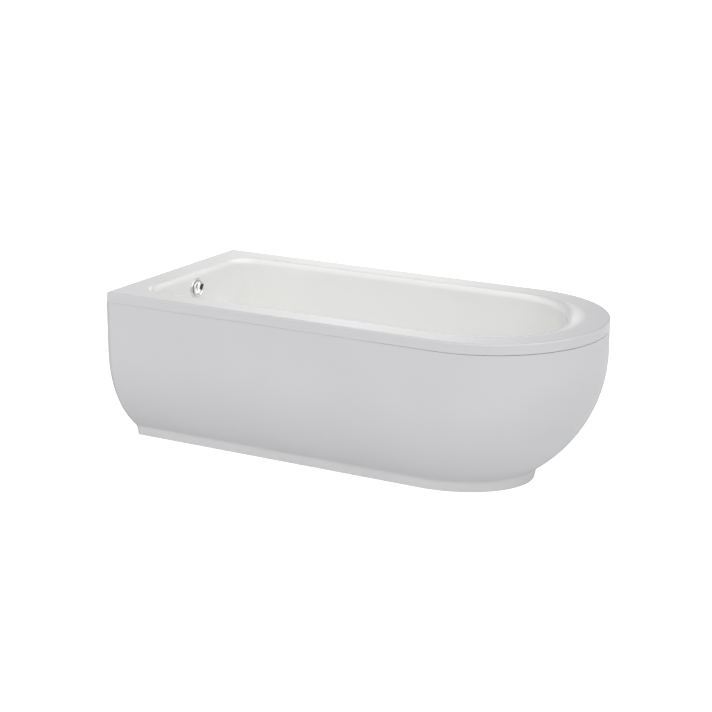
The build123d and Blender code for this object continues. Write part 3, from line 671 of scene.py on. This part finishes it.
def cells_group():
    """A mask and an edge of irregular cells, for zinc spangle, wood chips and chopped strands.

    Each cell of a Voronoi pattern gets one grey; Stretch draws the cells out along X.
    """
    group, start, end = socket_group(
        "cells",
        [("Vector", "Vector", (0, 0, 0)), ("Scale", "Float", 120.0), ("Stretch", "Float", 1.0)],
        [("Mask", "Float"), ("Edge", "Float")],
    )
    parts = group.nodes.new("ShaderNodeSeparateXYZ")
    group.links.new(start.outputs["Vector"], parts.inputs[0])
    joined = group.nodes.new("ShaderNodeCombineXYZ")
    drawn = math_node(group, "DIVIDE", parts.outputs[0], start.outputs["Stretch"])
    group.links.new(drawn, joined.inputs[0])
    group.links.new(parts.outputs[1], joined.inputs[1])
    group.links.new(parts.outputs[2], joined.inputs[2])
    cells = group.nodes.new("ShaderNodeTexVoronoi")
    group.links.new(joined.outputs[0], cells.inputs["Vector"])
    group.links.new(start.outputs["Scale"], cells.inputs["Scale"])
    grey = group.nodes.new("ShaderNodeSeparateColor")
    group.links.new(cells.outputs["Color"], grey.inputs[0])
    group.links.new(grey.outputs[0], end.inputs["Mask"])
    group.links.new(cells.outputs["Distance"], end.inputs["Edge"])
    return group


def dust_group():
    """A mask of settled dust: more where the surface faces up, broken up by noise."""
    group, start, end = socket_group(
        "settled dust",
        [("Vector", "Vector", (0, 0, 0)), ("Amount", "Float", 0.3)],
        [("Mask", "Float")],
    )
    normal = group.nodes.new("ShaderNodeNewGeometry")
    parts = group.nodes.new("ShaderNodeSeparateXYZ")
    group.links.new(normal.outputs["Normal"], parts.inputs[0])
    up = spread(group, parts.outputs[2], -0.2, 0.9)
    patches = spread(group, noise(group, start.outputs["Vector"], 26.0, 5, 0.65), 0.35, 0.8)
    settled = math_node(group, "MULTIPLY", up, patches)
    mask = math_node(group, "MULTIPLY", settled, start.outputs["Amount"])
    group.links.new(mask, end.inputs["Mask"])
    return group


GROUPS = {
    "sheet": moulded_sheet_group(),
    "timber": timber_group(),
    "cells": cells_group(),
    "dust": dust_group(),
}


def new_material(name, metallic=0.0, coat=0.0, coat_roughness=0.05):
    """A material with one Principled shader and Object coordinates to build on."""
    material = bpy.data.materials.new(name)
    material.use_nodes = True
    tree = material.node_tree
    shader = tree.nodes["Principled BSDF"]
    shader.inputs["Metallic"].default_value = metallic
    shader.inputs["Coat Weight"].default_value = coat
    shader.inputs["Coat Roughness"].default_value = coat_roughness
    coordinates = tree.nodes.new("ShaderNodeTexCoord").outputs["Object"]
    return material, tree, shader, coordinates


def place_group(tree, name, vector, **values):
    """A shared group placed in a material, with its own values."""
    node = tree.nodes.new("ShaderNodeGroup")
    node.node_tree = GROUPS[name]
    tree.links.new(vector, node.inputs["Vector"])
    for label, value in values.items():
        socket = node.inputs[label.replace("_", " ")]
        if isinstance(value, bpy.types.NodeSocket):
            tree.links.new(value, socket)
        else:
            socket.default_value = (*value, 1) if isinstance(value, tuple) else value
    return node.outputs


def bump(tree, shader, height, distance):
    """Feeds a height to the shader's normal, distance metres deep."""
    node = tree.nodes.new("ShaderNodeBump")
    node.inputs["Strength"].default_value = 1.0
    node.inputs["Distance"].default_value = distance
    tree.links.new(height, node.inputs["Height"])
    tree.links.new(node.outputs["Normal"], shader.inputs["Normal"])


def acrylic(name, colour, tint, roughness, rough_spread, peel, outer=None):
    """Gloss white acrylic: a clear-looking surface over white, with orange peel and faint marks.

    Outer is the colour and tint that the mask blends in: painted shade on the shell's lip and rim,
    painted light on the panel's plinth.
    """
    material, tree, shader, vector = new_material(name, coat=0.35, coat_roughness=0.04)
    if outer:
        # Painted shade and painted light: the mask blends the outer colour into the sheet's own
        painted_shading = tree.nodes.new("ShaderNodeAttribute")
        painted_shading.attribute_name = "painted_shading"
        colour, tint = (
            blend_colour(tree, painted_shading.outputs["Fac"], inner, other)
            for inner, other in zip((colour, tint), outer)
        )
    sheet = place_group(
        tree, "sheet", vector, Colour=colour, Tint=tint, Roughness=roughness,
        Roughness_Spread=rough_spread, Peel_Scale=peel,
    )
    tree.links.new(sheet["Colour"], shader.inputs["Base Color"])
    tree.links.new(sheet["Roughness"], shader.inputs["Roughness"])
    bump(tree, shader, sheet["Height"], 0.00002)
    return material


def polished_chrome():
    """Chrome: a bright metal with fingermarks in its roughness."""
    material, tree, shader, vector = new_material("polished_chrome", metallic=1.0)
    smudge = noise(tree, vector, 60.0, 4, 0.6)
    tree.links.new(spread(tree, smudge, 0.4, 0.8, 0.26, 0.36), shader.inputs["Roughness"])
    film = spread(tree, smudge, 0.3, 0.8)
    colour = blend_colour(tree, film, (0.9, 0.9, 0.9), (0.85, 0.85, 0.85))
    tree.links.new(colour, shader.inputs["Base Color"])
    bump(tree, shader, noise(tree, vector, 800.0, 1, 0.4), 0.000005)
    return material


def turned_brass():
    """Brass with a fine noise in its bump and a little tarnish."""
    material, tree, shader, vector = new_material("turned_brass", metallic=1.0)
    tarnish = spread(tree, noise(tree, vector, 90.0, 4, 0.6), 0.35, 0.75)
    colour = blend_colour(tree, tarnish, (0.72, 0.5, 0.2), (0.42, 0.28, 0.12))
    tree.links.new(colour, shader.inputs["Base Color"])
    tree.links.new(spread(tree, tarnish, 0.0, 1.0, 0.22, 0.45), shader.inputs["Roughness"])
    bump(tree, shader, noise(tree, vector, 1500.0, 2, 0.5), 0.00001)
    return material


def zinc_steel(name, scale, colour, dark, dust):
    """Galvanised steel: spangle cells in two greys, each with its own roughness, under dust."""
    material, tree, shader, vector = new_material(name, metallic=0.9)
    cells = place_group(tree, "cells", vector, Scale=scale)
    settled = place_group(tree, "dust", vector, Amount=dust)
    metal = blend_colour(tree, cells["Mask"], colour, dark)
    dusty = blend_colour(tree, settled["Mask"], metal, DUST)
    tree.links.new(dusty, shader.inputs["Base Color"])
    tree.links.new(spread(tree, cells["Mask"], 0.0, 1.0, 0.3, 0.5), shader.inputs["Roughness"])
    bump(tree, shader, cells["Edge"], 0.00003)
    return material


def plastic(name, colour, darker, grain, roughness, dust):
    """Moulded plastic: fine spark grain, slight flow clouds and, where hidden, settled dust."""
    material, tree, shader, vector = new_material(name)
    clouds = spread(tree, noise(tree, vector, 22.0, 3, 0.55), 0.3, 0.75)
    base = blend_colour(tree, clouds, colour, darker)
    settled = place_group(tree, "dust", vector, Amount=dust)
    dusty = blend_colour(tree, settled["Mask"], base, LIGHT_DUST)
    tree.links.new(dusty, shader.inputs["Base Color"])
    rough = spread(tree, clouds, 0.0, 1.0, roughness, roughness + 0.12)
    tree.links.new(rough, shader.inputs["Roughness"])
    bump(tree, shader, noise(tree, vector, grain, 3, 0.6), 0.00006)
    return material


def chipboard():
    """Raw board: flat chips of many browns, some dark, with a rough open surface."""
    material, tree, shader, vector = new_material("chipboard")
    chips = place_group(tree, "cells", vector, Scale=210.0, Stretch=2.6)
    small = place_group(tree, "cells", vector, Scale=520.0, Stretch=1.4)
    base = blend_colour(tree, chips["Mask"], (0.58, 0.42, 0.25), (0.36, 0.23, 0.12))
    pale = spread(tree, small["Mask"], 0.55, 1.0, 0.0, 0.6)
    colour = blend_colour(tree, pale, base, (0.7, 0.56, 0.37))
    tree.links.new(colour, shader.inputs["Base Color"])
    tree.links.new(spread(tree, small["Mask"], 0.0, 1.0, 0.7, 0.92), shader.inputs["Roughness"])
    bump(tree, shader, chips["Edge"], 0.0002)
    return material


def softwood():
    """Sawn softwood, its grain along X."""
    material, tree, shader, vector = new_material("softwood")
    wood = place_group(tree, "timber", vector)
    tree.links.new(wood["Colour"], shader.inputs["Base Color"])
    tree.links.new(wood["Roughness"], shader.inputs["Roughness"])
    bump(tree, shader, wood["Height"], 0.0002)
    return material


def glass_fibre():
    """Hand-laid glass fibre in resin: drawn-out strands, yellowish pools and a lumpy surface."""
    material, tree, shader, vector = new_material("glass_fibre", coat=0.2, coat_roughness=0.25)
    strands = place_group(tree, "cells", vector, Scale=300.0, Stretch=9.0)
    pools = spread(tree, noise(tree, vector, 7.0, 5, 0.6), 0.3, 0.72)
    resin = blend_colour(tree, pools, (0.66, 0.63, 0.5), (0.5, 0.47, 0.33))
    bright = spread(tree, strands["Mask"], 0.6, 1.0, 0.0, 0.5)
    colour = blend_colour(tree, bright, resin, (0.8, 0.79, 0.7))
    tree.links.new(colour, shader.inputs["Base Color"])
    tree.links.new(spread(tree, strands["Mask"], 0.0, 1.0, 0.35, 0.6), shader.inputs["Roughness"])
    lumps = math_node(tree, "MULTIPLY_ADD", noise(tree, vector, 60.0, 4, 0.6), 3.0, strands["Edge"])
    bump(tree, shader, lumps, 0.0006)
    return material


def ribbed_hose():
    """Grey flexible hose, in bands of two greys, darker in the hollows of its bumped ribs."""
    material, tree, shader, vector = new_material("ribbed_hose")
    rib = tree.nodes.new("ShaderNodeTexWave")
    rib.bands_direction = "DIAGONAL"
    rib.inputs["Scale"].default_value = 60.0
    tree.links.new(vector, rib.inputs["Vector"])
    clouds = spread(tree, noise(tree, vector, 40.0, 3, 0.6), 0.3, 0.7)
    base = blend_colour(tree, clouds, (0.36, 0.37, 0.38), (0.28, 0.29, 0.3))
    grooves = spread(tree, rib.outputs["Fac"], 0.0, 0.5, 0.5, 0.0)
    colour = blend_colour(tree, grooves, base, (0.22, 0.21, 0.2))
    tree.links.new(colour, shader.inputs["Base Color"])
    tree.links.new(spread(tree, clouds, 0.0, 1.0, 0.4, 0.55), shader.inputs["Roughness"])
    bump(tree, shader, rib.outputs["Fac"], 0.0008)
    return material


MATERIALS = {
    "shell_acrylic": acrylic("white_acrylic", *WELL_WHITE, 0.16, 0.05, 240.0, OUTER_PAINTED_SHADE_WHITE),
    "panel_acrylic": acrylic("white_panel", *OUTER_PAINTED_SHADE_WHITE, 0.32, 0.08, 200.0, PLINTH_PAINTED_LIGHT_WHITE),
    "glassfibre": glass_fibre(),
    "board": chipboard(),
    "timber": softwood(),
    "galvanised_steel": zinc_steel(
        "zinc_sheet", 140.0, (0.6, 0.61, 0.62), (0.48, 0.49, 0.51), 0.35
    ),
    "screw_steel": zinc_steel("zinc_fixings", 900.0, (0.62, 0.6, 0.52), (0.5, 0.48, 0.42), 0.2),
    "chrome": polished_chrome(),
    "brass": turned_brass(),
    "seal_rubber": plastic(
        "seal_rubber", (0.03, 0.03, 0.03), (0.045, 0.043, 0.04), 1200.0, 0.6, 0.15
    ),
    "fitting_plastic": plastic(
        "white_fittings", (0.72, 0.72, 0.69), (0.66, 0.66, 0.62), 900.0, 0.36, 0.25
    ),
    "hose_plastic": ribbed_hose(),
    "cable_plastic": plastic(
        "black_sheath", (0.03, 0.03, 0.032), (0.05, 0.05, 0.05), 1000.0, 0.45, 0.3
    ),
    "pad_plastic": plastic(
        "black_pads", (0.035, 0.035, 0.037), (0.055, 0.055, 0.055), 700.0, 0.5, 0.4
    ),
}
for entry in frame["record"]["subparts"]:
    node = frame["nodes"][entry["node"]]
    node.data.materials.clear()
    node.data.materials.append(MATERIALS[entry["material_slot"]])

# The bath and its panel
seen_skin = shell_skin(0.0)
shell_points, shell_faces = thick_sheet(seen_skin, shell_skin(SHEET), True)
# Painted shade: the lip and the flat of the rim take the darker outer white, more of it towards the
# round end, where it also reaches down the roll into the well
rows = np.arange(len(seen_skin) * 2)[:, None]
toward_round_end = toward_round(shell_points[:, 0]).reshape(len(rows), -1)
flat_painted_shade = FLAT_PAINTED_SHADE + (1 - FLAT_PAINTED_SHADE) * toward_round_end
down_the_roll = toward_round_end**3
rows_left = FADE_END + ROUND_FADE_END * down_the_roll - rows
flat_share = np.clip(rows_left / (FADE_ROWS + ROUND_FADE_ROWS * down_the_roll), 0, 1)
painted_shading = np.where(rows < LIP_ROWS, 1.0, flat_painted_shade * flat_share)
mesh_piece(
    "acrylic_bath", shell_points, shell_faces, MATERIALS["shell_acrylic"], "shell_acrylic",
    node="bath_shell", mask=painted_shading.ravel(),
)
# Painted shade on the panel, which takes the darker outer white, and painted light on its plinth,
# which takes a lighter white fading in below the plinth's top
panel_points, panel_faces = thick_sheet(panel_skin(0.0), panel_skin(SHEET), False)
mesh_piece(
    "bowl_panel", panel_points, panel_faces, MATERIALS["panel_acrylic"], "panel_acrylic",
    node="outer_panel", mask=np.clip((PLINTH_HEIGHT - panel_points[:, 2]) / PLINTH_FADE, 0, 1),
)

# The overflow, its turning knob and the plug
mesh_piece(
    "overflow_ring", *turned(rounded(ROSETTE), ROSETTE_X, OVERFLOW_Z, ring=True),
    MATERIALS["chrome"], "chrome", node="overflow_rosette",
)
knob = turned(rounded(KNOB), KNOB_X, OVERFLOW_Z)
grip = grip_bar(GRIP_X, GRIP_LENGTH, GRIP_WIDTH, GRIP_RISE, GRIP_ROUNDING)
mesh_piece(
    "overflow_turn_knob", *together(knob, grip), MATERIALS["chrome"], "chrome",
    "overflow_control", "overflow_knob",
)
# Painted shade: a black rubber pad on the grip stands for the dark shading on the knob
mesh_piece(
    "painted_shade_pad", *grip_bar(PAD_X, PAD_LENGTH, PAD_WIDTH, PAD_RISE, PAD_ROUNDING, PAD_OFFSET),
    MATERIALS["seal_rubber"], "seal_rubber", "overflow_control",
)
mesh_piece(
    "pop_up_plug", *turned(rounded(PLUG), WASTE_X, PLUG_Z, upright=True),
    MATERIALS["chrome"], "chrome", "plug", "waste_plug",
)
mesh_piece(
    "ribbed_overflow_hose", *ribbed_tube(), MATERIALS["hose_plastic"], "hose_plastic",
    node="overflow_hose",
)

# A plain white floor, lifted to the white of a photo studio's paper
bpy.ops.mesh.primitive_plane_add(size=FLOOR_SIZE, location=(0, 0, -FLOOR_DROP))
floor = bpy.context.object
floor.name = "studio_floor"
paper, paper_tree, paper_shader, _ = new_material("studio_paper")
paper_shader.inputs["Base Color"].default_value = (0.8, 0.8, 0.8, 1)
paper_shader.inputs["Roughness"].default_value = 0.9
paper_shader.inputs["Specular IOR Level"].default_value = 0.1
paper_shader.inputs["Emission Color"].default_value = (1, 1, 1, 1)
seen = paper_tree.nodes.new("ShaderNodeLightPath").outputs["Is Camera Ray"]
paper_glow = math_node(paper_tree, "MULTIPLY_ADD", seen, PAPER_LIFT, PAPER_GLOW)
paper_tree.links.new(paper_glow, paper_shader.inputs["Emission Strength"])
floor.data.materials.append(paper)

# Soft light from all round: towards each side the sky is as bright as the squared cosine of
# the turn from it, times a value that runs straight from each height to the next
world = bpy.data.worlds.new("studio")
bpy.context.scene.world = world
world.use_nodes = True
sky = world.node_tree
background = sky.nodes["Background"]
background.inputs["Color"].default_value = (1, 1, 1, 1)
direction = sky.nodes.new("ShaderNodeTexCoord").outputs["Generated"]
split = sky.nodes.new("ShaderNodeSeparateXYZ")
sky.links.new(direction, split.inputs[0])
level = split.outputs[2]
flat = sky.nodes.new("ShaderNodeVectorMath")
flat.operation = "MULTIPLY"
sky.links.new(direction, flat.inputs[0])
flat.inputs[1].default_value = (1, 1, 0)
heading = sky.nodes.new("ShaderNodeVectorMath")
heading.operation = "NORMALIZE"
sky.links.new(flat.outputs[0], heading.inputs[0])
lobes = []
for x, y in ((FRONT_X, FRONT_Y), (-FRONT_X, -FRONT_Y), (FRONT_Y, -FRONT_X), (-FRONT_Y, FRONT_X)):
    dot = sky.nodes.new("ShaderNodeVectorMath")
    dot.operation = "DOT_PRODUCT"
    sky.links.new(heading.outputs[0], dot.inputs[0])
    dot.inputs[1].default_value = (x, y, 0)
    facing = math_node(sky, "MAXIMUM", dot.outputs["Value"], 0.0)
    lobes.append(math_node(sky, "MULTIPLY", facing, facing))
glow = None
for below, here, above, levels in zip(HEIGHTS, HEIGHTS[1:], HEIGHTS[2:], SKY_LEVELS):
    rising = math_node(sky, "DIVIDE", math_node(sky, "SUBTRACT", level, below), here - below)
    falling = math_node(sky, "DIVIDE", math_node(sky, "SUBTRACT", above, level), above - here)
    hat = math_node(sky, "MAXIMUM", math_node(sky, "MINIMUM", rising, falling), 0.0)
    side_glow = None
    for lobe, value in zip(lobes, levels):
        part = math_node(sky, "MULTIPLY", lobe, value)
        side_glow = part if side_glow is None else math_node(sky, "ADD", side_glow, part)
    part = math_node(sky, "MULTIPLY", hat, side_glow)
    glow = part if glow is None else math_node(sky, "ADD", glow, part)
# A narrow soft glow low behind the bath, mirrored in the flat of the near rim
narrow = math_node(sky, "POWER", lobes[1], GLINT_POWER)
away = math_node(sky, "ABSOLUTE", math_node(sky, "SUBTRACT", level, GLINT_HEIGHT))
low_band = spread(sky, away, GLINT_CORE, GLINT_EDGE, GLINT, 0.0)
glow = math_node(sky, "ADD", glow, math_node(sky, "MULTIPLY", narrow, low_band))
# The camera itself sees plain white
seen = sky.nodes.new("ShaderNodeLightPath").outputs["Is Camera Ray"]
hidden = math_node(sky, "MULTIPLY", glow, math_node(sky, "SUBTRACT", 1.0, seen))
sky.links.new(math_node(sky, "ADD", hidden, seen), background.inputs["Strength"])

# The camera
camera_data = bpy.data.cameras.new("camera")
camera_data.lens = LENS
camera_data.sensor_width = SENSOR
camera_data.clip_end = FAR_CLIP
camera = bpy.data.objects.new("camera", camera_data)
bpy.context.scene.collection.objects.link(camera)
camera.location = CAMERA_PLACE
aim = Vector(CAMERA_AIM) - camera.location
camera.rotation_euler = aim.to_track_quat("-Z", "Y").to_euler()
bpy.context.scene.camera = camera
bpy.context.scene.view_settings.view_transform = "Standard"
